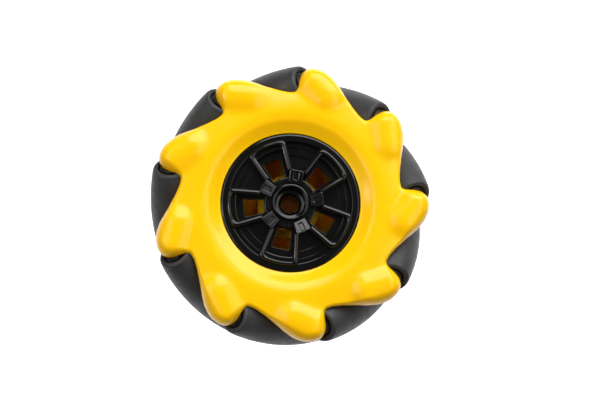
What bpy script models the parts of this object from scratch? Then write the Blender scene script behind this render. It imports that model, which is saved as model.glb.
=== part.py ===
"""Mecanum wheel, 80 mm across and 37 mm wide: two moulded shells hold nine barrel rollers at 45 degrees.

Lengths below are in millimetres and are scaled to metres as each mesh is made. The wheel turns about Y,
its middle plane is Y = 0, and its spoked front face looks along -Y. Angles run from +X towards +Z.
"""

import math

import bmesh
import bpy
from mathutils import Matrix, Vector

MM = 0.001

# Driving dimensions
WHEEL_RADIUS = 40.0  # the circle that the rollers roll on
ROLLER_COUNT = 9
ROLLER_AXIS_RADIUS = 32.5  # from the wheel's axle to the middle of a roller's pin
ROLLER_TILT = math.radians(45.0)
ROLLER_REACH = math.radians(20.9)  # a roller touches the ground this far each way round the wheel
FIRST_ROLLER = math.radians(25.5)
HALF_WIDTH = 18.5
SPOKE_COUNT = 5
FIRST_SPOKE = math.radians(42.0)

# Rollers
GAP = 0.3  # between pieces that touch
SHOULDER = 0.9  # rounding at the ends of a tyre
TYRE_BORE = 3.6
CORE_RADIUS = TYRE_BORE - GAP
CORE_SINK = 0.8  # the core's ends lie this far inside the tyre's
BUSH_RADIUS = 2.2
BUSH_DEPTH = 3.2
BUSH_FLANGE_RADIUS = 2.9
BUSH_FLANGE = 0.6
PIN_RADIUS = 1.25
PIN_HALF_LENGTH = 21.5
ROLLER_CLEARANCE = 0.6

# Shells
SPLIT_GAP = 0.15  # each shell stops this far short of the middle plane
DRUM_RADIUS = 24.3
DISH_RADIUS = 19.7
LEDGE_RADIUS = 18.7
LEDGE_DEPTH = 10.7
DISH_RIM = 14.9
CREST_RADIUS = 23.4
CREST = 17.0
RING_TOP = 17.5
FINGER_BACK = 9.5
FINGER_REFERENCE = math.radians(1.0)  # where the first finger's outline is measured from

# One finger and the notch beside it, clockwise from the notch: degrees from the finger's reference line
# and radius
FINGER_EDGE = (
    (-10.0, 31.3),
    (-6.4, 32.0),
    (-5.4, 34.5),
    (-4.6, 37.0),
    (-2.5, 38.7),
    (2.0, 39.2),
    (6.5, 38.6),
    (11.0, 37.4),
    (16.0, 35.2),
    (21.0, 33.2),
    (26.0, 31.9),
)

# Drive plate, clamped between the shells, and the screws
PLATE_FRONT = 0.15
PLATE_BACK = 3.0
PLATE_RADIUS = 20.4
BARREL_RADIUS = 9.2
BARREL_BORE = 7.2
BARREL_FRONT = -5.0
BARREL_BACK = 14.0
BARREL_FLOOR = 1.0
HEX_FLATS = 12.2
HEX_DEPTH = 9.5
RIB_THICKNESS = 1.8
RIB_BACK = 12.0
SCREW_CIRCLE = 16.2
SCREW_BOSS_RADIUS = 2.6
SCREW_HOLE = 1.45
SCREW_RADIUS = 1.1
SCREW_DEPTH = 8.8
SCREW_HEAD_RADIUS = 2.0
SCREW_HEAD = 1.6

# Spoked hub insert
HUB_RADIUS = DISH_RADIUS - GAP
HUB_RIM = 15.0  # the rim's flat ring
HUB_FRONT = 15.8  # the spokes stand above the rim
HUB_BACK = LEDGE_DEPTH + GAP
SPOKE_END = 17.8
BOSS_RADIUS = 5.1
BOSS_BORE = 4.3
BOSS_FLOOR = 10.0
BOSS_BACK = -0.7  # its sleeve reaches down to the barrel's floor
BOSS_HOLE = 2.6
HUB_FACE = 13.2  # floor of the pockets between and inside the spokes
PAD_FACE = 15.0


def empty_scene():
    for thing in list(bpy.data.objects):
        bpy.data.objects.remove(thing, do_unlink=True)


def plastic(name, colour, roughness, metallic=0.0):
    material = bpy.data.materials.new(name)
    material.use_nodes = True
    shader = material.node_tree.nodes["Principled BSDF"]
    shader.inputs["Base Color"].default_value = (*colour, 1.0)
    shader.inputs["Roughness"].default_value = roughness
    shader.inputs["Metallic"].default_value = metallic
    return material


def polar(radius, angle, y):
    """A point in wheel space, in metres."""
    return Vector((radius * math.cos(angle), y, radius * math.sin(angle))) * MM


def finish_mesh(name, bm, material, sharp=35.0):
    bmesh.ops.recalc_face_normals(bm, faces=bm.faces)
    mesh = bpy.data.meshes.new(name)
    bm.to_mesh(mesh)
    bm.free()
    mesh.shade_smooth()
    mesh.set_sharp_from_angle(angle=math.radians(sharp))
    thing = bpy.data.objects.new(name, mesh)
    bpy.context.scene.collection.objects.link(thing)
    if material:
        mesh.materials.append(material)
    return thing


def bridge(bm, ring_a, ring_b):
    for i in range(max(len(ring_a), len(ring_b))):
        corners = [ring_a[i % len(ring_a)], ring_a[(i + 1) % len(ring_a)]]
        corners += [ring_b[(i + 1) % len(ring_b)], ring_b[i % len(ring_b)]]
        bm.faces.new(list(dict.fromkeys(corners)))


def add_turned(bm, profile, segments, place=None):
    """Turn (radius, height) points about local Z; a profile ending on the axis makes a solid bar."""
    rings = []
    for radius, height in profile:
        count = segments if radius > 0 else 1
        ring = []
        for i in range(count):
            turn = 2 * math.pi * i / segments
            point = Vector((radius * math.cos(turn), radius * math.sin(turn), height)) * MM
            ring.append(bm.verts.new(place @ point if place else point))
        rings.append(ring)
    for ring_a, ring_b in zip(rings, rings[1:]):
        bridge(bm, ring_a, ring_b)
    if profile[0][0] > 0:
        bridge(bm, rings[-1], rings[0])


def turned(name, profile, segments, material, place=None):
    bm = bmesh.new()
    add_turned(bm, profile, segments, place)
    return finish_mesh(name, bm, material)


def add_prism(bm, outline, y_front, y_back):
    """Extrude a flat outline of (x, z) points between two depths."""
    front = [bm.verts.new(Vector((x, y_front, z)) * MM) for x, z in outline]
    back = [bm.verts.new(Vector((x, y_back, z)) * MM) for x, z in outline]
    bridge(bm, front, back)
    bm.faces.new(front)
    bm.faces.new(back)


def add_wedge(bm, angle, inner, outer, inner_width, outer_width, y_front, y_back):
    """A prism with straight sides, symmetric about a radial line."""
    corners = (
        (inner, -inner_width / 2),
        (outer, -outer_width / 2),
        (outer, outer_width / 2),
        (inner, inner_width / 2),
    )
    cos, sin = math.cos(angle), math.sin(angle)
    outline = [(along * cos - across * sin, along * sin + across * cos) for along, across in corners]
    add_prism(bm, outline, y_front, y_back)


def combine(target, operation, tool):
    """Apply a Boolean, and leave the tool out of the part."""
    modifier = target.modifiers.new(operation.lower(), "BOOLEAN")
    modifier.operation = operation
    modifier.object = tool
    modifier.solver = "EXACT"
    tool.hide_render = True
    tool.display_type = "WIRE"


ABOUT_WHEEL_AXIS = Matrix.Rotation(math.radians(-90.0), 4, "X")  # local Z becomes +Y


def spoke_angles(offset=0.0):
    return [FIRST_SPOKE + offset + 2 * math.pi * i / SPOKE_COUNT for i in range(SPOKE_COUNT)]


BETWEEN_SPOKES = math.pi / SPOKE_COUNT


# Rollers


def roller_places():
    """The middle of each pin, with local Z along it: towards the back, and anticlockwise."""
    for i in range(ROLLER_COUNT):
        angle = FIRST_ROLLER + 2 * math.pi * i / ROLLER_COUNT
        along = Vector(
            (
                -math.sin(angle) * math.sin(ROLLER_TILT),
                math.cos(ROLLER_TILT),
                math.cos(angle) * math.sin(ROLLER_TILT),
            )
        )
        outward = Vector((math.cos(angle), 0.0, math.sin(angle)))
        turn = Matrix((outward, along.cross(outward), along)).transposed()
        yield i + 1, Matrix.Translation(outward * ROLLER_AXIS_RADIUS * MM) @ turn.to_4x4()


def barrel_point(reach):
    """Distance along the pin and tyre radius where the tyre touches the wheel's envelope."""
    drop = WHEEL_RADIUS - ROLLER_AXIS_RADIUS / math.cos(reach)
    lean = math.sin(reach) * math.sin(ROLLER_TILT)
    along = ROLLER_AXIS_RADIUS * math.tan(reach) / math.sin(ROLLER_TILT) + drop * lean
    return along, drop * math.sqrt(1 - lean**2)


def half_barrel(steps):
    return [barrel_point(ROLLER_REACH * i / steps) for i in range(1, steps + 1)]


TYRE_END, TYRE_END_RADIUS = barrel_point(ROLLER_REACH)


def tyre_profile():
    side = half_barrel(3)
    side[-1] = (TYRE_END - 0.6 * SHOULDER, TYRE_END_RADIUS)
    back = side + [(TYRE_END, TYRE_END_RADIUS - 0.6 * SHOULDER), (TYRE_END, TYRE_BORE)]
    front = [(-along, radius) for along, radius in reversed(back)]
    middle = (0.0, WHEEL_RADIUS - ROLLER_AXIS_RADIUS)
    return [(radius, along) for along, radius in front + [middle] + back]


def core_profile():
    end = TYRE_END - CORE_SINK
    seat = end - BUSH_DEPTH - GAP
    bore = PIN_RADIUS + GAP
    back = [(bore, seat), (BUSH_RADIUS + GAP, seat), (BUSH_RADIUS + GAP, end), (CORE_RADIUS, end)]
    front = [(radius, -along) for radius, along in reversed(back)]
    return back + front


def bush_profile(side):
    """A bush whose flange bears on the finger; side is -1 at the front and 1 at the back."""
    end = TYRE_END - CORE_SINK
    bore = PIN_RADIUS + GAP
    points = (
        (bore, end - BUSH_DEPTH),
        (BUSH_RADIUS, end - BUSH_DEPTH),
        (BUSH_RADIUS, end + GAP),
        (BUSH_FLANGE_RADIUS, end + GAP),
        (BUSH_FLANGE_RADIUS, end + GAP + BUSH_FLANGE),
        (bore, end + GAP + BUSH_FLANGE),
    )
    return [(radius, side * along) for radius, along in points]


def pin_profile():
    chamfer = 0.3
    end = [(PIN_RADIUS, PIN_HALF_LENGTH - chamfer), (PIN_RADIUS - chamfer, PIN_HALF_LENGTH)]
    front = [(radius, -along) for radius, along in reversed(end)]
    return [(0.0, -PIN_HALF_LENGTH)] + front + end + [(0.0, PIN_HALF_LENGTH)]


def roller_space_profile():
    """What a shell leaves free for one roller and its pin."""
    face = TYRE_END - CORE_SINK + BUSH_FLANGE + 2 * GAP
    hole = PIN_RADIUS + GAP
    hole_end = PIN_HALF_LENGTH + GAP
    back = [(radius + ROLLER_CLEARANCE, along) for along, radius in half_barrel(3)]
    back += [(TYRE_END_RADIUS + ROLLER_CLEARANCE, face), (hole, face), (hole, hole_end), (0.0, hole_end)]
    front = [(radius, -along) for radius, along in reversed(back)]
    middle = (WHEEL_RADIUS - ROLLER_AXIS_RADIUS + ROLLER_CLEARANCE, 0.0)
    return front + [middle] + back


def make_rollers(rubber, nylon, steel, acetal):
    pieces = (
        ("roller_tyre", tyre_profile(), 16, rubber),
        ("roller_core", core_profile(), 10, nylon),
        ("roller_bush_front", bush_profile(-1), 8, acetal),
        ("roller_bush_back", bush_profile(1), 8, acetal),
        ("roller_pin", pin_profile(), 8, steel),
    )
    for number, place in roller_places():
        axis = bpy.data.objects.new(f"roller_axis_{number}", None)
        bpy.context.scene.collection.objects.link(axis)
        axis.matrix_world = place
        for name, profile, segments, material in pieces:
            piece = turned(f"{name}_{number}", profile, segments, material)
            piece.parent = axis


def roller_space():
    bm = bmesh.new()
    for _, place in roller_places():
        add_turned(bm, roller_space_profile(), 12, place)
    return finish_mesh("roller_space", bm, None)


# Shells


def shell_section(edge):
    """Closed loop of (radius, depth) points, from the dish over the domed finger and back by the drum."""
    notch = FINGER_EDGE[0][1]
    fullness = (edge - notch) / (max(radius for _, radius in FINGER_EDGE) - notch)
    top = RING_TOP + (HALF_WIDTH - RING_TOP) * fullness
    drop = 1.0 + 3.0 * fullness
    roll = 0.9 + 3.6 * fullness
    return [
        (LEDGE_RADIUS, LEDGE_DEPTH),
        (DISH_RADIUS, LEDGE_DEPTH),
        (DISH_RADIUS, DISH_RIM),
        (CREST_RADIUS, CREST),
        (edge - roll, top),
        (edge - 0.3 * roll, top - 0.3 * drop),
        (edge, top - drop),
        (edge, FINGER_BACK),
        (DRUM_RADIUS, FINGER_BACK),
        (DRUM_RADIUS, SPLIT_GAP),
        (LEDGE_RADIUS, SPLIT_GAP),
    ]


def shell_ring(name, material):
    """Front half of the drum with its nine fingers."""
    bm = bmesh.new()
    rings = []
    for finger in range(ROLLER_COUNT):
        for degrees, edge in FINGER_EDGE:
            angle = FINGER_REFERENCE - math.radians(degrees) - 2 * math.pi * finger / ROLLER_COUNT
            section = shell_section(edge)
            rings.append([bm.verts.new(polar(radius, angle, -depth)) for radius, depth in section])
    for ring_a, ring_b in zip(rings, rings[1:] + rings[:1]):
        bridge(bm, ring_a, ring_b)
    return finish_mesh(name, bm, material)


def screw_places():
    for angle in spoke_angles(BETWEEN_SPOKES):
        yield angle, Matrix.Translation(polar(SCREW_CIRCLE, angle, 0.0)) @ ABOUT_WHEEL_AXIS


def screw_holes():
    bm = bmesh.new()
    profile = [(0.0, -SCREW_DEPTH - 0.5), (SCREW_HOLE, -SCREW_DEPTH - 0.5), (SCREW_HOLE, 4.0), (0.0, 4.0)]
    for _, place in screw_places():
        add_turned(bm, profile, 8, place)
    return finish_mesh("screw_holes", bm, None)


def screw_bosses():
    """Five pillars on the front drum's wall that the screws bite into."""
    bosses = bmesh.new()
    ribs = bmesh.new()
    front = -SCREW_DEPTH - 1.6
    profile = [(0.0, front), (SCREW_BOSS_RADIUS, front), (SCREW_BOSS_RADIUS, -0.3), (0.0, -0.3)]
    for angle, place in screw_places():
        add_turned(bosses, profile, 10, place)
        add_wedge(ribs, angle, SCREW_CIRCLE, LEDGE_RADIUS + 1.0, 3.2, 3.2, front + 0.4, -0.6)
    return finish_mesh("screw_bosses", bosses, None), finish_mesh("screw_boss_ribs", ribs, None)


def make_front_shell(yellow):
    shell = shell_ring("front_shell", yellow)
    bosses, ribs = screw_bosses()
    combine(shell, "UNION", bosses)
    combine(shell, "UNION", ribs)
    combine(shell, "DIFFERENCE", roller_space())
    combine(shell, "DIFFERENCE", screw_holes())


def plate_seat():
    """The recess in the rear drum that the drive plate's rim lies in."""
    radius, floor = PLATE_RADIUS + GAP, PLATE_BACK + GAP
    profile = [(0.0, -1.0), (radius, -1.0), (radius, floor), (0.0, floor)]
    return turned("plate_seat", profile, 36, None, ABOUT_WHEEL_AXIS)


def make_rear_shell(yellow):
    """The front shell's ring, turned over about the first roller's radial line."""
    shell = shell_ring("rear_shell", yellow)
    radial = Vector((math.cos(FIRST_ROLLER), 0.0, math.sin(FIRST_ROLLER)))
    shell.data.transform(Matrix.Rotation(math.pi, 4, radial))
    combine(shell, "DIFFERENCE", roller_space())
    combine(shell, "DIFFERENCE", plate_seat())


# Drive plate


def plate_and_barrel(yellow):
    profile = [
        (0.0, BARREL_FLOOR),
        (BARREL_BORE, BARREL_FLOOR),
        (BARREL_BORE, BARREL_FRONT),
        (BARREL_RADIUS, BARREL_FRONT),
        (BARREL_RADIUS, PLATE_FRONT),
        (PLATE_RADIUS, PLATE_FRONT),
        (PLATE_RADIUS, PLATE_BACK),
        (BARREL_RADIUS, PLATE_BACK),
        (BARREL_RADIUS, BARREL_BACK),
        (0.0, BARREL_BACK),
    ]
    return turned("drive_plate", profile, 30, yellow, ABOUT_WHEEL_AXIS)


def plate_ribs():
    bm = bmesh.new()
    reach = (BARREL_RADIUS - 0.7, LEDGE_RADIUS - GAP)
    for angle in spoke_angles():
        add_wedge(bm, angle, *reach, RIB_THICKNESS, RIB_THICKNESS, 2.0, RIB_BACK)
    return finish_mesh("plate_ribs", bm, None)


def hex_socket():
    corner = HEX_FLATS / math.sqrt(3)
    outline = [(corner * math.cos(i * math.pi / 3), corner * math.sin(i * math.pi / 3)) for i in range(6)]
    bm = bmesh.new()
    add_prism(bm, outline, BARREL_BACK - HEX_DEPTH, BARREL_BACK + 1.0)
    return finish_mesh("hex_socket", bm, None)


def make_drive_plate(yellow):
    """A disc with ribs and a barrel; the hexagonal drive socket opens at the barrel's back."""
    plate = plate_and_barrel(yellow)
    combine(plate, "UNION", plate_ribs())
    combine(plate, "DIFFERENCE", hex_socket())
    combine(plate, "DIFFERENCE", screw_holes())


# Hub insert and screws


def hub_body(black):
    profile = [
        (BOSS_HOLE, -BOSS_BACK),
        (BOSS_RADIUS, -BOSS_BACK),
        (BOSS_RADIUS, -HUB_BACK),
        (HUB_RADIUS, -HUB_BACK),
        (HUB_RADIUS, -HUB_RIM + 0.4),
        (HUB_RADIUS - 0.4, -HUB_RIM),
        (SPOKE_END, -HUB_RIM),
        (SPOKE_END - 0.3, -HUB_FRONT),
        (BOSS_BORE, -HUB_FRONT),
        (BOSS_BORE, -BOSS_FLOOR),
        (BOSS_HOLE, -BOSS_FLOOR),
    ]
    return turned("spoke_hub", profile, 40, black, ABOUT_WHEEL_AXIS)


def wedges(name, offset, *shape):
    bm = bmesh.new()
    for angle in spoke_angles(offset):
        add_wedge(bm, angle, *shape)
    return finish_mesh(name, bm, None)


def make_hub(black):
    """A disc with five two-legged spokes; a window opens between the legs of each."""
    hub = hub_body(black)
    front = -HUB_FRONT - 1.0
    combine(hub, "DIFFERENCE", wedges("leg_pockets", 0.0, 7.3, 16.6, 4.9, 8.2, front, -HUB_FACE))
    combine(hub, "DIFFERENCE", wedges("windows", 0.0, 7.5, 13.1, 3.5, 5.2, front - 0.5, -HUB_BACK + 1.0))
    combine(hub, "DIFFERENCE", wedges("side_pockets", BETWEEN_SPOKES, 9.9, 16.6, 3.4, 9.7, front, -HUB_FACE))
    combine(hub, "DIFFERENCE", wedges("pads", BETWEEN_SPOKES, 5.8, 8.9, 2.6, 3.0, front, -PAD_FACE))


def screw_profile():
    back = PLATE_BACK + GAP
    return [
        (0.0, -SCREW_DEPTH),
        (SCREW_RADIUS - 0.5, -SCREW_DEPTH),
        (SCREW_RADIUS, -SCREW_DEPTH + 1.2),
        (SCREW_RADIUS, back),
        (SCREW_HEAD_RADIUS, back),
        (SCREW_HEAD_RADIUS, back + 0.6 * SCREW_HEAD),
        (0.6 * SCREW_HEAD_RADIUS, back + SCREW_HEAD),
        (0.0, back + SCREW_HEAD),
    ]


def make_screws(steel):
    for number, (_, place) in enumerate(screw_places(), start=1):
        turned(f"shell_screw_{number}", screw_profile(), 8, steel, place)


def main():
    empty_scene()
    yellow = plastic("yellow_plastic", (0.93, 0.52, 0.01), 0.22)
    black = plastic("black_plastic", (0.012, 0.012, 0.013), 0.2)
    rubber = plastic("black_rubber", (0.03, 0.03, 0.032), 0.75)
    nylon = plastic("dark_nylon", (0.02, 0.02, 0.022), 0.5)
    steel = plastic("steel", (0.6, 0.6, 0.62), 0.3, 1.0)
    acetal = plastic("black_acetal", (0.018, 0.018, 0.019), 0.4)
    make_front_shell(yellow)
    make_rear_shell(yellow)
    make_drive_plate(yellow)
    make_hub(black)
    make_screws(steel)
    make_rollers(rubber, nylon, steel, acetal)


main()
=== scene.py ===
"""Looks for the mecanum wheel: fine shells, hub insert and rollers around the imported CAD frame.

Lengths are in millimetres until a mesh is made. Depth is measured from the wheel's middle plane towards
the spoked front face, which looks along -Y. Angles run from +X towards +Z.
"""

import math

import bmesh
import bpy
import numpy as np
from mathutils import Matrix, Vector


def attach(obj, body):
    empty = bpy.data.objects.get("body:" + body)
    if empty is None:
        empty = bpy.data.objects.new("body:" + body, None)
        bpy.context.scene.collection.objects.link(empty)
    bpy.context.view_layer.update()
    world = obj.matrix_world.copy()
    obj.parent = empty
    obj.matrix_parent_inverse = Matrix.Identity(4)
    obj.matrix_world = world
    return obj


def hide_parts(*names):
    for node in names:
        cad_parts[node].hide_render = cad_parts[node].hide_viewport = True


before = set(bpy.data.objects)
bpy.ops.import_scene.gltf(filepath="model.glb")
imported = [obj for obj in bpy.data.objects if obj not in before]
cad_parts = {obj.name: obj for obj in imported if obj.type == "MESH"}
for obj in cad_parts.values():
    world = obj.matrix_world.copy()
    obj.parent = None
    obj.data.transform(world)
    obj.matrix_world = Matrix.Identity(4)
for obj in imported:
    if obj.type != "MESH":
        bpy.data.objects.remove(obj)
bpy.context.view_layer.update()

MM = 0.001
FRAME_BODY = "wheel_frame"

WHEEL_RADIUS = 40.0
ROLLER_COUNT = 9
ROLLER_AXIS_RADIUS = 32.5
ROLLER_REACH = math.radians(20.9)
FIRST_ROLLER = math.radians(25.5)
FIRST_FINGER = math.radians(1.0)
FIRST_SPOKE = math.radians(42.0)
SPOKE_COUNT = 5
BETWEEN_SPOKES = math.pi / SPOKE_COUNT

# Camera: azimuth and elevation in degrees, distance in metres, sensor and lens in millimetres
CAMERA_VIEW = (-2.696, -7.037)
CAMERA_DISTANCE = 0.28037
CAMERA_SENSOR = 36.0
CAMERA_LENS = 56.9
CAMERA_SHIFT = (0.0197, 0.0146)
CAMERA_NEAR = 0.01

# Studio: name, place and size in metres, and watts; every lamp looks at the wheel
WORLD_STRENGTH = 0.12
PAPER_GLOW = 0.8
PAPER_BEHIND = 0.42
PAPER_HALF = 1.6
LAMPS = (
    ("key", (0.22, -0.46, 0.46), (0.80, 0.45), 6.4),
    ("right_box", (0.28, -0.46, 0.02), (0.24, 0.40), 0.55),
    ("left_box", (-0.28, -0.46, 0.04), (0.24, 0.40), 0.65),
    ("window", (-0.42, -0.28, 0.01), (0.05, 0.07), 0.4),
    ("behind", (0.05, 0.50, 0.60), (0.6, 0.5), 2.0),
)

# Rollers
TYRE_BORE = 3.6
CORE_RADIUS = 3.3
CORE_SINK = 0.8
BUSH_RADIUS = 2.2
BUSH_DEPTH = 3.2
BUSH_FLANGE_RADIUS = 2.9
BUSH_FLANGE = 0.6
PIN_RADIUS = 1.25
PIN_HALF_LENGTH = 21.5
GAP = 0.3

# Shells
SPLIT_GAP = 0.15
DRUM_RADIUS = 24.3
DISH_RADIUS = 19.7
LEDGE_RADIUS = 18.7
LEDGE_DEPTH = 10.7
DISH_RIM = 14.9
RING_SLOPES = (  # radius, and how fast the moulded ring rises outwards there
    (19.7, 0.42),
    (20.8, 0.62),
    (22.6, 0.62),
    (23.5, 0.24),
    (24.6, 0.20),
    (25.8, 0.04),
    (27.0, -0.05),
    (31.0, -0.10),
    (34.0, -0.20),
    (40.0, -0.25),
)
THUMB_TOP = 18.5
THUMB_RISE = 4.6
THUMB_RADIUS = 6.2
THUMB_BLEND = 0.9
THUMB_ROUND = 0.96  # share of the radius that is an ellipse, and the flank's fall beyond it
THUMB_FLANK = 6.0
THUMB_TIP = (1.0, 35.0)  # centre line of a finger's bulge: clockwise and outward of the finger's line
THUMB_ROOT = (5.4, 31.8)
ROLL_NOTCH = 1.1  # width of the rounded edge in the notches, and at the fingers' tips
ROLL_TIP = 2.8
ROLL_GROWS = (31.0, 5.0)  # radius where the width starts to grow, and over how far
ROLL_DROP = 1.1
FINGER_BACK = 9.5
ROLLER_CLEARANCE = 0.55
SHELL_WALL = 0.9
SHELL_COLUMNS = 56
SHELL_ROWS = 64
BACK_ROWS = 24

# One finger and the notch beside it, clockwise: degrees from the finger's line, and radius
FINGER_EDGE = (
    (-9.5, 31.25),
    (-7.2, 31.3),
    (-5.9, 31.9),
    (-5.3, 33.1),
    (-5.0, 34.6),
    (-4.5, 36.1),
    (-3.4, 37.6),
    (-1.4, 38.7),
    (1.6, 39.15),
    (4.5, 39.0),
    (7.5, 38.4),
    (10.5, 37.4),
    (13.5, 36.1),
    (17.5, 34.4),
    (21.5, 33.0),
    (25.5, 31.95),
)

# Drive plate and screws
PLATE_FRONT = -0.15
PLATE_BACK = -3.0
PLATE_RADIUS = 20.4
BARREL_RADIUS = 9.2
BARREL_BORE = 7.2
BARREL_FRONT = 5.0
BARREL_BACK = -14.0
BARREL_FLOOR = -1.0
HEX_FLATS = 12.2
HEX_FLOOR = -4.5
RIB_THICKNESS = 1.8
RIB_BACK = -12.0
SCREW_CIRCLE = 16.2
SCREW_HEAD_RADIUS = 2.0
SCREW_DEPTH = 8.8

# Hub insert
HUB_RADIUS = 19.4
HUB_BACK = 11.0
HUB_RIM = 15.0
SPOKE_TOP = 15.8
BOSS_BACK = -0.7
BASE_RADIUS = 18.2
BASE_HOLE = 4.9
COLLAR = (7.3, 4.8, 14.2)  # outer and inner radius, and top
FOOT = HUB_BACK + 0.3  # where the spokes and pads start, inside the base
SPOKE_ROUND_OFF = 0.78
SPOKE_INNER = 8.2
SPOKE_OUTER = 17.85
SPOKE_BOW = 16.45
TERRACES = ((15.9, 13.1), (13.8, 12.75))  # inner radius and top
TERRACE_OUTER = 17.9
PAD_END = 9.3
PAD_SLOPE = 0.2
SPOKE_WIDTH = 1.75
SPOKE_SPLAY = 0.1765  # how fast a spoke's legs part, per millimetre outwards
POCKET_FLOOR = 12.3
WINDOW = ((7.4, 1.85), (13.1, 2.6))  # radius and half width at each end


# Mesh helpers


class Shape:
    """Points and faces gathered in millimetres, and made into one object at the end."""

    def __init__(self):
        self.points = []
        self.faces = []

    def row(self, points):
        first = len(self.points)
        self.points.extend(points)
        return list(range(first, len(self.points)))

    def strip(self, row_a, row_b, closed=True):
        count = max(len(row_a), len(row_b))
        for i in range(count if closed else count - 1):
            j = (i + 1) % count
            near = (row_a[i % len(row_a)], row_a[j % len(row_a)])
            far = (row_b[j % len(row_b)], row_b[i % len(row_b)])
            self.faces.append(tuple(dict.fromkeys(near + far)))

    def turned(self, profile, segments, place=None, centre=(0.0, 0.0)):
        """Turn (radius, depth) points about a line along the axle, or about local Z where a place is given.

        A radius can be one number, or one for each point of the ring.
        """
        turns = np.arange(segments) * 2 * math.pi / segments
        rows = []
        for radius, height in profile:
            if np.ndim(radius) == 0 and radius == 0:
                flat = [(0.0, 0.0)]
            else:
                flat = list(zip(radius * np.cos(turns), radius * np.sin(turns)))
            if place is None:
                rows.append(self.row([(centre[0] + x, -height, centre[1] + z) for x, z in flat]))
            else:
                rows.append(self.row([tuple(place @ Vector((x, y, height))) for x, y in flat]))
        for row_a, row_b in zip(rows, rows[1:]):
            self.strip(row_a, row_b)
        if len(rows[0]) > 1:
            self.strip(rows[-1], rows[0])

    def slab(self, outlines, depth_a, depth_b, round_off, tilt=None):
        """A plate between two depths, with rounded edges: the first (x, z) outline less the others.

        A tilt (angle, radius, slope) lets its front fall away inwards from a radius on a radial line.
        """
        curve = bpy.data.curves.new("slab", "CURVE")
        curve.dimensions = "2D"
        curve.fill_mode = "BOTH"
        curve.extrude = abs(depth_a - depth_b) / 2 - round_off
        curve.bevel_depth = round_off
        curve.bevel_resolution = 3
        curve.offset = -round_off
        for outline in outlines:
            spline = curve.splines.new("POLY")
            spline.points.add(len(outline) - 1)
            for point, (x, z) in zip(spline.points, outline):
                point.co = (x, z, 0.0, 1.0)
            spline.use_cyclic_u = True
        holder = bpy.data.objects.new("slab", curve)
        mesh = bpy.data.meshes.new_from_object(holder)
        middle = (depth_a + depth_b) / 2
        first = len(self.points)
        for v in mesh.vertices:
            x, z, depth = v.co.x, v.co.y, v.co.z + middle
            if tilt and v.co.z > 0:
                angle, radius, slope = tilt
                depth -= slope * (radius - x * math.cos(angle) - z * math.sin(angle))
            self.points.append((x, -depth, z))
        self.faces += [tuple(first + i for i in face.vertices) for face in mesh.polygons]
        bpy.data.objects.remove(holder)
        bpy.data.curves.remove(curve)
        bpy.data.meshes.remove(mesh)

    def build(self, name, material, body=FRAME_BODY, sharp=38.0):
        bm = bmesh.new()
        verts = [bm.verts.new(Vector(p) * MM) for p in self.points]
        for face in self.faces:
            bm.faces.new([verts[i] for i in face])
        bmesh.ops.recalc_face_normals(bm, faces=bm.faces)
        mesh = bpy.data.meshes.new(name)
        bm.to_mesh(mesh)
        bm.free()
        mesh.shade_smooth()
        mesh.set_sharp_from_angle(angle=math.radians(sharp))
        mesh.materials.append(material)
        piece = bpy.data.objects.new(name, mesh)
        bpy.context.scene.collection.objects.link(piece)
        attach(piece, body)
        return piece


def smooth_max(a, b, width):
    return 0.5 * (a + b + np.sqrt((a - b) ** 2 + width**2))


def smooth_step(x):
    x = np.clip(x, 0.0, 1.0)
    return x * x * (3 - 2 * x)


# Materials


class Recipe:
    """A node material around one Principled shader."""

    def __init__(self, name, roughness, **sockets):
        self.material = bpy.data.materials.new(name)
        self.material.use_nodes = True
        self.nodes = self.material.node_tree.nodes
        self.links = self.material.node_tree.links
        self.shader = self.nodes["Principled BSDF"]
        self.shader.inputs["Roughness"].default_value = roughness
        for socket, value in sockets.items():
            self.shader.inputs[socket.replace("_", " ")].default_value = value
        self.where = self.nodes.new("ShaderNodeTexCoord").outputs["Object"]

    def noise(self, scale, detail=3.0, stretch=None, roughness=0.55):
        """Noise with about scale bumps to the metre."""
        node = self.nodes.new("ShaderNodeTexNoise")
        node.inputs["Scale"].default_value = scale
        node.inputs["Detail"].default_value = detail
        node.inputs["Roughness"].default_value = roughness
        source = self.where
        if stretch:
            mapping = self.nodes.new("ShaderNodeMapping")
            mapping.inputs["Scale"].default_value = stretch
            self.links.new(source, mapping.inputs["Vector"])
            source = mapping.outputs["Vector"]
        self.links.new(source, node.inputs["Vector"])
        return node.outputs["Fac"]

    def ramp(self, factor, stops):
        node = self.nodes.new("ShaderNodeValToRGB")
        elements = node.color_ramp.elements
        while len(elements) < len(stops):
            elements.new(0.5)
        for element, (position, colour) in zip(elements, stops):
            element.position = position
            element.color = (*colour, 1.0)
        self.links.new(factor, node.inputs["Fac"])
        return node.outputs["Color"]

    def spread(self, factor, low, high, from_low=0.3, from_high=0.7):
        node = self.nodes.new("ShaderNodeMapRange")
        node.inputs["From Min"].default_value = from_low
        node.inputs["From Max"].default_value = from_high
        node.inputs["To Min"].default_value = low
        node.inputs["To Max"].default_value = high
        self.links.new(factor, node.inputs["Value"])
        return node.outputs["Result"]

    def feed(self, socket, output):
        self.links.new(output, self.shader.inputs[socket])

    def bump(self, layers):
        """Stack (height, distance in mm) layers of bump."""
        normal = None
        for height, distance in layers:
            node = self.nodes.new("ShaderNodeBump")
            node.inputs["Strength"].default_value = 1.0
            node.inputs["Distance"].default_value = distance * MM
            self.links.new(height, node.inputs["Height"])
            if normal:
                self.links.new(normal, node.inputs["Normal"])
            normal = node.outputs["Normal"]
        self.feed("Normal", normal)


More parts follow.
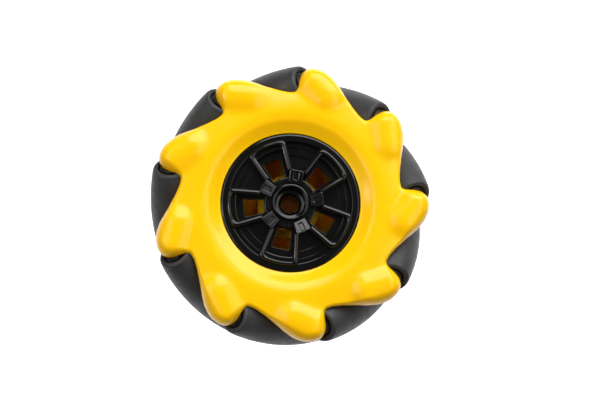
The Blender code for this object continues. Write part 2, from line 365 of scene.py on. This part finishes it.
def yellow_plastic():
    recipe = Recipe(
        "yellow_abs",
        0.16,
        Subsurface_Weight=0.35,
        Subsurface_Radius=(1.0, 0.45, 0.05),
        Subsurface_Scale=2.2 * MM,
        Specular_IOR_Level=0.22,
        Coat_Weight=0.12,
        Coat_Roughness=0.05,
    )
    broad = recipe.noise(22, 2.0)
    recipe.feed("Base Color", recipe.ramp(broad, ((0.3, (1.0, 0.53, 0.0)), (0.7, (1.0, 0.56, 0.001)))))
    recipe.feed("Roughness", recipe.spread(recipe.noise(260, 5.0), 0.17, 0.26))
    flow = recipe.noise(45, 2.0)
    scuffs = recipe.noise(900, 6.0, (1.0, 1.0, 0.12))
    recipe.bump(((flow, 0.03), (scuffs, 0.002)))
    return recipe.material


def black_plastic():
    recipe = Recipe("black_abs", 0.16, Specular_IOR_Level=0.3, Coat_Weight=0.15, Coat_Roughness=0.04)
    depth_of_black = ((0.3, (0.002, 0.002, 0.0022)), (0.7, (0.0035, 0.0034, 0.0032)))
    recipe.feed("Base Color", recipe.ramp(recipe.noise(60), depth_of_black))
    recipe.feed("Roughness", recipe.spread(recipe.noise(300, 5.0), 0.1, 0.18))
    recipe.bump(((recipe.noise(90, 2.0), 0.03), (recipe.noise(1400, 4.0), 0.003)))
    return recipe.material


def rubber():
    recipe = Recipe("roller_rubber_grain", 0.55, Sheen_Weight=0.12, Sheen_Roughness=0.4, IOR=1.48)
    dust = recipe.noise(130, 6.0)
    greys = ((0.25, (0.016, 0.0165, 0.018)), (0.75, (0.034, 0.034, 0.036)))
    recipe.feed("Base Color", recipe.ramp(dust, greys))
    recipe.feed("Roughness", recipe.spread(recipe.noise(400, 4.0), 0.46, 0.64))
    recipe.bump(((recipe.noise(2600, 3.0), 0.018), (recipe.noise(150, 2.0), 0.06)))
    return recipe.material


def dull_plastic(name, dark, light, roughness):
    recipe = Recipe(name, roughness)
    recipe.feed("Base Color", recipe.ramp(recipe.noise(200), ((0.3, dark), (0.7, light))))
    recipe.feed("Roughness", recipe.spread(recipe.noise(700, 4.0), roughness - 0.1, roughness + 0.1))
    recipe.bump(((recipe.noise(1500, 3.0), 0.01),))
    return recipe.material


def metal(name, dark, light, roughness, stretch):
    recipe = Recipe(name, roughness, Metallic=1.0)
    grain = recipe.noise(1800, 5.0, stretch)
    recipe.feed("Base Color", recipe.ramp(recipe.noise(240), ((0.3, dark), (0.7, light))))
    recipe.feed("Roughness", recipe.spread(grain, roughness - 0.08, roughness + 0.12))
    recipe.bump(((grain, 0.004),))
    return recipe.material


# Rollers


def roller_places():
    """The middle of each pin, with local Z along it: towards the back, and anticlockwise."""
    for i in range(ROLLER_COUNT):
        angle = FIRST_ROLLER + 2 * math.pi * i / ROLLER_COUNT
        outward = Vector((math.cos(angle), 0.0, math.sin(angle)))
        along = Vector((-math.sin(angle), 1.0, math.cos(angle))).normalized()
        turn = Matrix((outward, along.cross(outward), along)).transposed()
        yield i + 1, Matrix.Translation(outward * ROLLER_AXIS_RADIUS) @ turn.to_4x4()


def barrel_point(reach):
    """Distance along the pin and tyre radius where the tyre touches the wheel's envelope."""
    drop = WHEEL_RADIUS - ROLLER_AXIS_RADIUS / math.cos(reach)
    lean = math.sin(reach) * math.sqrt(0.5)
    along = ROLLER_AXIS_RADIUS * math.tan(reach) * math.sqrt(2.0) + drop * lean
    return along, drop * math.sqrt(1 - lean**2)


TYRE_END = barrel_point(ROLLER_REACH)[0]
CORE_END = TYRE_END - CORE_SINK
ROLLER_FACE = CORE_END + 2 * GAP + BUSH_FLANGE


def mirrored(half):
    """A closed profile from its +Z half, given as (along, radius) points that start nearest the middle."""
    back = [(radius, along) for along, radius in half]
    return [(radius, -along) for radius, along in reversed(back)] + back


def rounded_corner(along, radius, round_off, steps=6):
    """Quarter round from a tyre's side to its end face, around the corner (along, radius)."""
    turns = [math.pi / 2 * i / steps for i in range(steps + 1)]
    return [
        (along - round_off * (1 - math.sin(t)), radius - round_off * (1 - math.cos(t)))
        for t in turns
    ]


def tyre_profile():
    shoulder = 0.8
    side = [barrel_point(ROLLER_REACH * i / 26) for i in range(27)]
    side = [point for point in side if point[0] < TYRE_END - shoulder - 0.1]
    corner = barrel_point(ROLLER_REACH * (1 - 0.5 * shoulder / TYRE_END))[1]
    half = side[1:] + rounded_corner(TYRE_END, corner, shoulder)
    lip = TYRE_BORE + 0.35
    half += [(TYRE_END, lip + 0.4), (TYRE_END - 0.05, lip + 0.15), (TYRE_END - 0.2, lip - 0.1)]
    half += [(TYRE_END - 0.5, TYRE_BORE)]
    profile = mirrored(half)
    middle = len(half)
    return profile[:middle] + [(WHEEL_RADIUS - ROLLER_AXIS_RADIUS, 0.0)] + profile[middle:]


def core_profile():
    bore = PIN_RADIUS + GAP
    seat = CORE_END - BUSH_DEPTH - GAP
    half = [(seat, bore), (seat, BUSH_RADIUS + GAP), (CORE_END - 0.25, BUSH_RADIUS + GAP)]
    half += [(CORE_END, BUSH_RADIUS + GAP + 0.2), (CORE_END, CORE_RADIUS - 0.2)]
    half += [(CORE_END - 0.2, CORE_RADIUS)]
    return mirrored(half)


def bush_profile(side):
    bore = PIN_RADIUS + GAP
    end = CORE_END + GAP
    points = (
        (bore + 0.1, CORE_END - BUSH_DEPTH),
        (BUSH_RADIUS - 0.2, CORE_END - BUSH_DEPTH),
        (BUSH_RADIUS, CORE_END - BUSH_DEPTH + 0.2),
        (BUSH_RADIUS, end - 0.05),
        (BUSH_RADIUS + 0.05, end),
        (BUSH_FLANGE_RADIUS - 0.1, end),
        (BUSH_FLANGE_RADIUS, end + 0.1),
        (BUSH_FLANGE_RADIUS, end + BUSH_FLANGE - 0.1),
        (BUSH_FLANGE_RADIUS - 0.1, end + BUSH_FLANGE),
        (bore + 0.15, end + BUSH_FLANGE),
        (bore, end + BUSH_FLANGE - 0.15),
        (bore, CORE_END - BUSH_DEPTH + 0.1),
    )
    return [(radius, side * along) for radius, along in points]


def pin_profile():
    end = PIN_HALF_LENGTH
    half = [(end - 0.3, PIN_RADIUS), (end - 0.06, PIN_RADIUS - 0.22), (end, PIN_RADIUS - 0.35), (end, 0.0)]
    return mirrored(half)


def make_rollers(finishes):
    pieces = (
        ("roller_tyre", tyre_profile(), 96, "roller_rubber", True),
        ("roller_core", core_profile(), 64, "roller_nylon", True),
        ("roller_bush_front", bush_profile(-1), 48, "bush_acetal", True),
        ("roller_bush_back", bush_profile(1), 48, "bush_acetal", True),
        ("roller_pin", pin_profile(), 40, "pin_steel", False),
    )
    for number, place in roller_places():
        for name, profile, segments, slot, turns in pieces:
            shape = Shape()
            shape.turned(profile, segments, place)
            body = f"roller_{number}" if turns else FRAME_BODY
            piece = shape.build(f"fine_{name}_{number}", finishes[slot], body)
            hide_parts(f"{name}_{number}")


# Shells


def outline_radius(degrees):
    """Radius of the shells' outline, by monotone cubic steps through FINGER_EDGE."""
    pitch = 360.0 / ROLLER_COUNT
    knots = [(a + pitch * turn, r) for turn in (-1, 0, 1, 2) for a, r in FINGER_EDGE]
    angles, radii = np.array(knots).T
    steps = np.diff(radii) / np.diff(angles)
    before, after = steps[:-1], steps[1:]
    same_way = before * after > 0
    slopes = np.where(same_way, 2 * before * after / np.where(same_way, before + after, 1.0), 0.0)
    slopes = np.concatenate([[0.0], slopes, [0.0]])
    place = (np.asarray(degrees) - angles[0]) % pitch + angles[0] + pitch
    i = np.searchsorted(angles, place, side="right") - 1
    span = angles[i + 1] - angles[i]
    t = (place - angles[i]) / span
    ease = t * t * (3 - 2 * t)
    bend = slopes[i] * (t**3 - 2 * t**2 + t) + slopes[i + 1] * (t**3 - t**2)
    return radii[i] + (radii[i + 1] - radii[i]) * ease + span * bend


def finger_columns(count):
    """Angles clockwise from the finger's line, spaced evenly along the outline of one finger."""
    fine = np.linspace(FINGER_EDGE[0][0], FINGER_EDGE[0][0] + 360.0 / ROLLER_COUNT, 4001)
    radius = outline_radius(fine)
    turn = np.radians(fine)
    x, y = radius * np.sin(turn), radius * np.cos(turn)
    length = np.concatenate([[0.0], np.cumsum(np.hypot(np.diff(x), np.diff(y)))])
    return np.interp(np.linspace(0, length[-1], count + 1)[:-1], length, fine)


def distance_to_outline(x, y):
    """Distance in the finger's plane from points to the outline of this finger and its neighbours."""
    turn = np.radians(np.linspace(-35, 65, 700))
    radius = outline_radius(np.degrees(turn))
    edge_x, edge_y = radius * np.sin(turn), radius * np.cos(turn)
    rows = []
    for row_x, row_y in zip(x, y):
        rows.append(np.hypot(row_x[:, None] - edge_x, row_y[:, None] - edge_y).min(axis=1))
    return np.array(rows)


def thumb_distance(x, y):
    (ax, ay), (bx, by) = THUMB_TIP, THUMB_ROOT
    length2 = (bx - ax) ** 2 + (by - ay) ** 2
    t = np.clip(((x - ax) * (bx - ax) + (y - ay) * (by - ay)) / length2, 0.0, 1.0)
    return np.hypot(x - ax - t * (bx - ax), y - ay - t * (by - ay))


def ring_depth(radius):
    """Depth of the moulded ring without its fingers, integrated from its slopes."""
    fine = np.linspace(RING_SLOPES[0][0], RING_SLOPES[-1][0], 400)
    slope = np.interp(fine, *np.array(RING_SLOPES).T)
    smooth = np.convolve(np.pad(slope, 8, mode="edge"), np.ones(17) / 17, mode="valid")
    rise = np.concatenate([[0.0], np.cumsum((smooth[1:] + smooth[:-1]) / 2 * np.diff(fine))])
    return DISH_RIM + np.interp(radius, fine, rise)


def front_depth(x, y, edge_distance):
    """Depth of the moulded front surface, from the dish over the ring to the fingers."""
    radius = np.hypot(x, y)
    depth = ring_depth(radius)
    for neighbour in (-1, 0, 1):
        turn = neighbour * 2 * math.pi / ROLLER_COUNT
        near_x = x * math.cos(turn) - y * math.sin(turn)
        near_y = x * math.sin(turn) + y * math.cos(turn)
        away = thumb_distance(near_x, near_y) / THUMB_RADIUS
        round_part = np.minimum(away, THUMB_ROUND)
        bulge = THUMB_TOP - THUMB_RISE * (1 - np.sqrt(1 - round_part**2))
        bulge = bulge - THUMB_FLANK * np.maximum(away - THUMB_ROUND, 0.0)
        depth = smooth_max(depth, bulge, THUMB_BLEND)
    roll = ROLL_NOTCH + (ROLL_TIP - ROLL_NOTCH) * smooth_step((radius - ROLL_GROWS[0]) / ROLL_GROWS[1])
    inside = np.minimum(edge_distance, roll)
    return depth - roll * ROLL_DROP * (1 - np.sqrt(np.maximum(1 - (1 - inside / roll) ** 2, 0.0)))


def roller_front(x, y):
    """Depth where the free space round a roller begins behind each point, or FINGER_BACK."""
    depths = np.linspace(FINGER_BACK - 0.5, THUMB_TOP, 150)
    reach = np.array([barrel_point(ROLLER_REACH * i / 20) for i in range(21)])
    found = np.full(x.shape, FINGER_BACK)
    for i in range(-2, 3):
        angle = FIRST_ROLLER - FIRST_FINGER + 2 * math.pi * i / ROLLER_COUNT
        across = y * math.cos(angle) - x * math.sin(angle) - ROLLER_AXIS_RADIUS
        around = -x * math.cos(angle) - y * math.sin(angle)
        for depth in depths:
            along = np.abs(around - depth) * math.sqrt(0.5)
            aside = (around + depth) * math.sqrt(0.5)
            free = np.interp(along, reach[:, 0], reach[:, 1]) + ROLLER_CLEARANCE
            inside = (np.hypot(across, aside) < free) & (along < ROLLER_FACE)
            found = np.where(inside, np.maximum(found, depth), found)
    return found


def shell_sector():
    """One ninth of a shell: rows of (x, y, depth) points in the finger's plane, as closed loops inwards."""
    outline = finger_columns(SHELL_COLUMNS)
    pitch = 360.0 / ROLLER_COUNT
    even = FINGER_EDGE[0][0] + pitch * np.arange(SHELL_COLUMNS) / SHELL_COLUMNS
    radius = outline_radius(outline)
    edge_x, edge_y = radius * np.sin(np.radians(outline)), radius * np.cos(np.radians(outline))
    round_x, round_y = np.sin(np.radians(even)), np.cos(np.radians(even))

    def across(inner, share):
        blend = share[:, None]
        x = inner * round_x * (1 - blend) + edge_x * blend
        y = inner * round_y * (1 - blend) + edge_y * blend
        return x, y

    front_share = 1 - (1 - np.linspace(0, 1, SHELL_ROWS)) ** 1.5
    front_x, front_y = across(DISH_RADIUS, front_share)
    front = front_depth(front_x, front_y, distance_to_outline(front_x, front_y))
    back_share = np.linspace(0, 1, BACK_ROWS)
    back_x, back_y = across(DRUM_RADIUS, back_share)
    cover = front_depth(back_x, back_y, distance_to_outline(back_x, back_y))
    back = np.minimum(roller_front(back_x, back_y), cover - SHELL_WALL)
    back[0] = FINGER_BACK
    loops = [(front_x[i], front_y[i], front[i]) for i in range(SHELL_ROWS)]
    for share in (0.25, 0.5, 0.75):
        loops.append((edge_x, edge_y, front[-1] * (1 - share) + back[-1] * share))
    loops += [(back_x[i], back_y[i], back[i]) for i in reversed(range(BACK_ROWS))]

    def circle(radius, depth):
        loops.append((radius * round_x, radius * round_y, np.full(SHELL_COLUMNS, depth)))

    circle(DRUM_RADIUS, FINGER_BACK * 0.5)
    circle(DRUM_RADIUS, SPLIT_GAP + 0.25)
    circle(DRUM_RADIUS - 0.25, SPLIT_GAP)
    circle(PLATE_RADIUS + GAP, SPLIT_GAP)
    circle(PLATE_RADIUS + GAP, -PLATE_BACK + GAP)
    circle(LEDGE_RADIUS, -PLATE_BACK + GAP)
    circle(LEDGE_RADIUS, LEDGE_DEPTH)
    circle(DISH_RADIUS, LEDGE_DEPTH)
    circle(DISH_RADIUS, DISH_RIM - 0.3)
    return loops


def make_shells(material):
    loops = shell_sector()
    half_turn = Vector((math.cos(FIRST_ROLLER), 0.0, math.sin(FIRST_ROLLER)))
    for name, turned_over in (("front_shell", False), ("rear_shell", True)):
        shape = Shape()
        rows = []
        for x, y, depth in loops:
            points = []
            for finger in range(ROLLER_COUNT):
                line = FIRST_FINGER - 2 * math.pi * finger / ROLLER_COUNT
                cos, sin = math.cos(line), math.sin(line)
                points += [
                    Vector((py * cos + px * sin, -pd, py * sin - px * cos)) for px, py, pd in zip(x, y, depth)
                ]
            if turned_over:
                points = [2 * half_turn.dot(point) * half_turn - point for point in points]
            rows.append(shape.row([tuple(point) for point in points]))
        for row_a, row_b in zip(rows, rows[1:] + rows[:1]):
            shape.strip(row_a, row_b)
        piece = shape.build(f"fine_{name}", material, sharp=50.0)
        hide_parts(name)


# Drive plate and screws


def hexagon(flats, segments):
    """Radius of a hexagon at each of a ring's points."""
    turns = np.arange(segments) * 2 * math.pi / segments
    return flats / 2 / np.cos((turns % (math.pi / 3)) - math.pi / 6)


def make_drive_plate(material):
    segments = 144
    shape = Shape()
    hexes = [(hexagon(HEX_FLATS + grow, segments), depth) for grow, depth in (
        (0.7, BARREL_BACK), (0.0, BARREL_BACK + 0.35), (0.0, HEX_FLOOR),
    )]
    profile = [
        (0.0, BARREL_FLOOR),
        (BARREL_BORE - 0.6, BARREL_FLOOR),
        (BARREL_BORE - 0.15, BARREL_FLOOR + 0.15),
        (BARREL_BORE, BARREL_FLOOR + 0.6),
        (BARREL_BORE, BARREL_FRONT - 0.3),
        (BARREL_BORE + 0.2, BARREL_FRONT),
        (BARREL_RADIUS - 0.2, BARREL_FRONT),
        (BARREL_RADIUS, BARREL_FRONT - 0.2),
        (BARREL_RADIUS, PLATE_FRONT + 0.8),
        (BARREL_RADIUS + 0.25, PLATE_FRONT + 0.25),
        (BARREL_RADIUS + 0.8, PLATE_FRONT),
        (PLATE_RADIUS, PLATE_FRONT),
        (PLATE_RADIUS, PLATE_BACK),
        (BARREL_RADIUS + 0.8, PLATE_BACK),
        (BARREL_RADIUS + 0.25, PLATE_BACK - 0.25),
        (BARREL_RADIUS, PLATE_BACK - 0.8),
        (BARREL_RADIUS, BARREL_BACK + 0.4),
        (BARREL_RADIUS - 0.12, BARREL_BACK + 0.12),
        (BARREL_RADIUS - 0.4, BARREL_BACK),
    ]
    shape.turned(profile + hexes + [(0.0, HEX_FLOOR)], segments)
    for angle in spoke_angles():
        outline = [
            across_radial(angle, along, side)
            for along, side in (
                (BARREL_RADIUS - 0.4, -RIB_THICKNESS / 2),
                (LEDGE_RADIUS - GAP, -RIB_THICKNESS / 2),
                (LEDGE_RADIUS - GAP, RIB_THICKNESS / 2),
                (BARREL_RADIUS - 0.4, RIB_THICKNESS / 2),
            )
        ]
        shape.slab([outline], PLATE_BACK + 0.5, RIB_BACK, 0.25)
    piece = shape.build("fine_drive_plate", material)
    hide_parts("drive_plate")


def make_screws(material):
    head = PLATE_BACK - GAP
    profile = [
        (0.0, SCREW_DEPTH),
        (0.6, SCREW_DEPTH),
        (1.1, SCREW_DEPTH - 1.2),
        (1.1, head + 0.1),
        (SCREW_HEAD_RADIUS - 0.1, head),
        (SCREW_HEAD_RADIUS, head - 0.1),
        (SCREW_HEAD_RADIUS, head - 0.7),
        (SCREW_HEAD_RADIUS - 0.15, head - 1.05),
        (SCREW_HEAD_RADIUS - 0.5, head - 1.35),
        (SCREW_HEAD_RADIUS - 1.0, head - 1.55),
    ]
    segments = 48
    for number, angle in enumerate(spoke_angles(BETWEEN_SPOKES), start=1):
        shape = Shape()
        recess = [
            (hexagon(1.7, segments), head - 1.58),
            (hexagon(1.5, segments), head - 1.5),
            (hexagon(1.4, segments), head - 0.6),
        ]
        centre = (SCREW_CIRCLE * math.cos(angle), SCREW_CIRCLE * math.sin(angle))
        shape.turned(profile + recess + [(0.0, head - 0.6)], segments, centre=centre)
        piece = shape.build(f"fine_shell_screw_{number}", material, sharp=30.0)
        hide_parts(f"shell_screw_{number}")


# Hub insert


def spoke_angles(offset=0.0):
    return [FIRST_SPOKE + offset + 2 * math.pi * i / SPOKE_COUNT for i in range(SPOKE_COUNT)]


def across_radial(angle, along, side):
    """A flat (x, z) point, given outwards along a radial line and anticlockwise from it."""
    cos, sin = math.cos(angle), math.sin(angle)
    return (along * cos - side * sin, along * sin + side * cos)


def rounded(corners, steps=6):
    """Round the corners of a flat polygon given as (along, side, radius)."""
    points = []
    count = len(corners)
    for i, (x, y, radius) in enumerate(corners):
        here = np.array((x, y))
        before = np.array(corners[i - 1][:2]) - here
        after = np.array(corners[(i + 1) % count][:2]) - here
        if radius == 0:
            points.append((x, y))
            continue
        before /= np.linalg.norm(before)
        after /= np.linalg.norm(after)
        half = math.acos(np.clip(before @ after, -1, 1)) / 2
        start = here + before * radius / math.tan(half)
        end = here + after * radius / math.tan(half)
        centre = here + (before + after) / np.linalg.norm(before + after) * radius / math.sin(half)
        for step in range(steps + 1):
            mix = start + (end - start) * step / steps - centre
            points.append(tuple(centre + mix / np.linalg.norm(mix) * radius))
    return points


def leg_side(radius):
    """Half the width over a spoke's two legs at a radius."""
    return 4.35 + SPOKE_SPLAY * (radius - 8.5)


def spoke_outline():
    """One spoke: two legs that meet in a bow near the rim."""
    inner, outer, bow = SPOKE_INNER, SPOKE_OUTER, SPOKE_BOW
    tip = math.sqrt(outer**2 - leg_side(outer) ** 2)
    corners = [(inner, -leg_side(inner), 0), (tip, -leg_side(tip), 1.5)]
    corners += [(math.sqrt(outer**2 - side**2), side, 0) for side in np.linspace(-4.0, 4.0, 9)]
    corners += [(tip, leg_side(tip), 1.5), (inner, leg_side(inner), 0)]
    corners += [(inner, leg_side(inner) - SPOKE_WIDTH, 0)]
    hollow = math.sqrt(bow**2 - (leg_side(bow) - SPOKE_WIDTH) ** 2)
    corners += [(hollow, leg_side(bow) - SPOKE_WIDTH, 0.9)]
    corners += [(math.sqrt(bow**2 - side**2), side, 0) for side in np.linspace(2.6, -2.6, 7)]
    corners += [(hollow, SPOKE_WIDTH - leg_side(bow), 0.9), (inner, SPOKE_WIDTH - leg_side(inner), 0)]
    return rounded(corners)


def sector(angle, inner, outer, inner_half, outer_half, steps=10):
    """A block between two circles with straight sides, given its half widths at the circles."""
    points = []
    for radius, half, direction in ((inner, inner_half, 1), (outer, outer_half, -1)):
        turn = math.asin(half / radius)
        for step in range(steps + 1):
            swing = direction * turn * (2 * step / steps - 1)
            points.append((radius * math.cos(angle + swing), radius * math.sin(angle + swing)))
    return points


def circle(radius, steps=120):
    turns = [2 * math.pi * i / steps for i in range(steps)]
    return [(radius * math.cos(turn), radius * math.sin(turn)) for turn in turns]


def make_hub(material):
    """The black insert, layer by layer: base with windows, terraces, spokes, pads, rim and boss."""
    shape = Shape()
    (near, near_half), (far, far_half) = WINDOW
    corners = ((near, -near_half), (far, -far_half), (far, far_half), (near, near_half))
    window = rounded([(*corner, 0.35) for corner in corners], 3)
    windows = [[across_radial(angle, *point) for point in window] for angle in spoke_angles()]
    shape.slab([circle(BASE_RADIUS), circle(BASE_HOLE, 72)] + windows, POCKET_FLOOR, HUB_BACK, 0.12)
    shape.slab([circle(COLLAR[0], 96), circle(COLLAR[1], 72)], COLLAR[2], HUB_BACK + 0.2, 0.25)
    spoke = spoke_outline()
    for angle in spoke_angles():
        shape.slab([[across_radial(angle, *point) for point in spoke]], SPOKE_TOP, FOOT, SPOKE_ROUND_OFF)
        band = sector(angle, 15.2, 16.9, leg_side(15.2) - 1.2, leg_side(16.9) - 1.6)
        shape.slab([band], 14.3, FOOT, 0.35)
    for angle in spoke_angles(BETWEEN_SPOKES):
        for inner, top in TERRACES:
            inner_half = inner * math.sin(BETWEEN_SPOKES) - leg_side(inner) * math.cos(BETWEEN_SPOKES)
            outer_half = TERRACE_OUTER * math.sin(BETWEEN_SPOKES)
            outer_half -= leg_side(TERRACE_OUTER) * math.cos(BETWEEN_SPOKES)
            terrace = sector(angle, inner, TERRACE_OUTER, inner_half + 0.4, outer_half + 0.4)
            shape.slab([terrace], top, FOOT, 0.1)
        corners = ((5.3, -1.8, 0.4), (PAD_END, -2.3, 0.7), (PAD_END, 2.3, 0.7), (5.3, 1.8, 0.4))
        pad = rounded(corners, 4)
        bar = rounded([(6.6, -0.45, 0.2), (8.6, -0.5, 0.2), (8.6, 0.5, 0.2), (6.6, 0.45, 0.2)], 3)
        place = [across_radial(angle, *point) for point in pad]
        hole = [across_radial(angle, *point) for point in bar]
        shape.slab([place, hole], SPOKE_TOP - 0.05, FOOT, 0.4, tilt=(angle, PAD_END, PAD_SLOPE))
        shape.slab([hole], SPOKE_TOP - 0.3, FOOT, 0.05, tilt=(angle, PAD_END, PAD_SLOPE))
    for angle in spoke_angles():
        for side in (-0.75, 0.0, 0.75):
            mark = [(6.15, side - 0.16), (6.85, side - 0.16), (6.85, side + 0.16), (6.15, side + 0.16)]
            shape.slab([[across_radial(angle, *point) for point in mark]], 14.55, 14.1, 0.07)
    rim = [
        (17.3, HUB_BACK),
        (HUB_RADIUS - 0.15, HUB_BACK),
        (HUB_RADIUS, HUB_BACK + 0.15),
        (HUB_RADIUS, HUB_RIM - 0.45),
        (HUB_RADIUS - 0.08, HUB_RIM - 0.12),
        (HUB_RADIUS - 0.3, HUB_RIM),
        (HUB_RADIUS - 0.55, HUB_RIM),
        (HUB_RADIUS - 0.65, HUB_RIM - 0.1),
        (HUB_RADIUS - 1.0, HUB_RIM - 0.12),
        (17.55, HUB_RIM - 0.12),
        (17.38, HUB_RIM - 0.2),
        (17.3, HUB_RIM - 0.4),
    ]
    shape.turned(rim, 180)
    boss = [
        (2.65, BOSS_BACK + 0.2),
        (2.85, BOSS_BACK),
        (4.9, BOSS_BACK),
        (5.1, BOSS_BACK + 0.2),
        (5.1, SPOKE_TOP - 0.35),
        (5.0, SPOKE_TOP - 0.1),
        (4.8, SPOKE_TOP),
        (4.6, SPOKE_TOP),
        (4.38, SPOKE_TOP - 0.12),
        (4.3, SPOKE_TOP - 0.4),
        (4.25, 11.0),
        (4.1, 10.5),
        (3.75, 10.3),
        (3.35, 10.3),
        (3.2, 10.25),
        (2.75, 9.75),
        (2.65, 9.6),
    ]
    shape.turned(boss, 96)
    piece = shape.build("fine_spoke_hub", material, sharp=40.0)
    piece.modifiers.new("flat faces", "WEIGHTED_NORMAL").keep_sharp = True
    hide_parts("spoke_hub")


# Set, light and camera


def area_light(name, place, size, watts):
    light = bpy.data.lights.new(name, "AREA")
    light.energy = watts
    light.shape = "RECTANGLE"
    light.size, light.size_y = size
    lamp = bpy.data.objects.new(name, light)
    lamp.location = place
    lamp.rotation_euler = (-Vector(place)).to_track_quat("-Z", "Y").to_euler()
    lamp.visible_camera = False
    bpy.context.scene.collection.objects.link(lamp)


def make_set():
    world = bpy.data.worlds.new("studio")
    world.use_nodes = True
    world.node_tree.nodes["Background"].inputs["Color"].default_value = (1.0, 1.0, 1.0, 1.0)
    world.node_tree.nodes["Background"].inputs["Strength"].default_value = WORLD_STRENGTH
    bpy.context.scene.world = world
    bpy.context.scene.view_settings.view_transform = "Standard"
    paper = Recipe("backdrop_paper", 0.9)
    tone = paper.ramp(paper.noise(4), ((0.0, (0.93, 0.93, 0.93)), (1.0, (0.96, 0.96, 0.96))))
    paper.feed("Base Color", tone)
    paper.feed("Emission Color", tone)
    paper.shader.inputs["Emission Strength"].default_value = PAPER_GLOW
    bm = bmesh.new()
    for x, z in ((-1, -1), (1, -1), (1, 1), (-1, 1)):
        bm.verts.new((x * PAPER_HALF, PAPER_BEHIND, z * PAPER_HALF))
    bm.faces.new(bm.verts)
    mesh = bpy.data.meshes.new("backdrop")
    bm.to_mesh(mesh)
    bm.free()
    mesh.materials.append(paper.material)
    backdrop = bpy.data.objects.new("backdrop", mesh)
    bpy.context.scene.collection.objects.link(backdrop)
    for lamp in LAMPS:
        area_light(*lamp)


def make_camera():
    camera = bpy.data.cameras.new("camera")
    camera.sensor_width = CAMERA_SENSOR
    camera.lens = CAMERA_LENS
    camera.shift_x, camera.shift_y = CAMERA_SHIFT
    camera.clip_start = CAMERA_NEAR
    view = bpy.data.objects.new("camera", camera)
    azimuth, elevation = (math.radians(angle) for angle in CAMERA_VIEW)
    level = math.cos(elevation)
    away = Vector((math.sin(azimuth) * level, -math.cos(azimuth) * level, math.sin(elevation)))
    view.location = away * CAMERA_DISTANCE
    view.rotation_euler = (-away).to_track_quat("-Z", "Y").to_euler()
    bpy.context.scene.collection.objects.link(view)
    bpy.context.scene.camera = view


finishes = {
    "roller_rubber": rubber(),
    "roller_nylon": dull_plastic("nylon_grain", (0.012, 0.012, 0.013), (0.026, 0.025, 0.025), 0.5),
    "bush_acetal": dull_plastic("acetal_grain", (0.012, 0.012, 0.013), (0.02, 0.02, 0.021), 0.35),
    "pin_steel": metal("ground_steel", (0.50, 0.50, 0.52), (0.70, 0.70, 0.71), 0.26, (1.0, 1.0, 0.15)),
}
yellow = yellow_plastic()
make_shells(yellow)
make_drive_plate(yellow)
make_screws(metal("zinc_plate", (0.28, 0.29, 0.31), (0.46, 0.47, 0.48), 0.3, (1.0, 1.0, 1.0)))
make_hub(black_plastic())
make_rollers(finishes)
make_set()
make_camera()
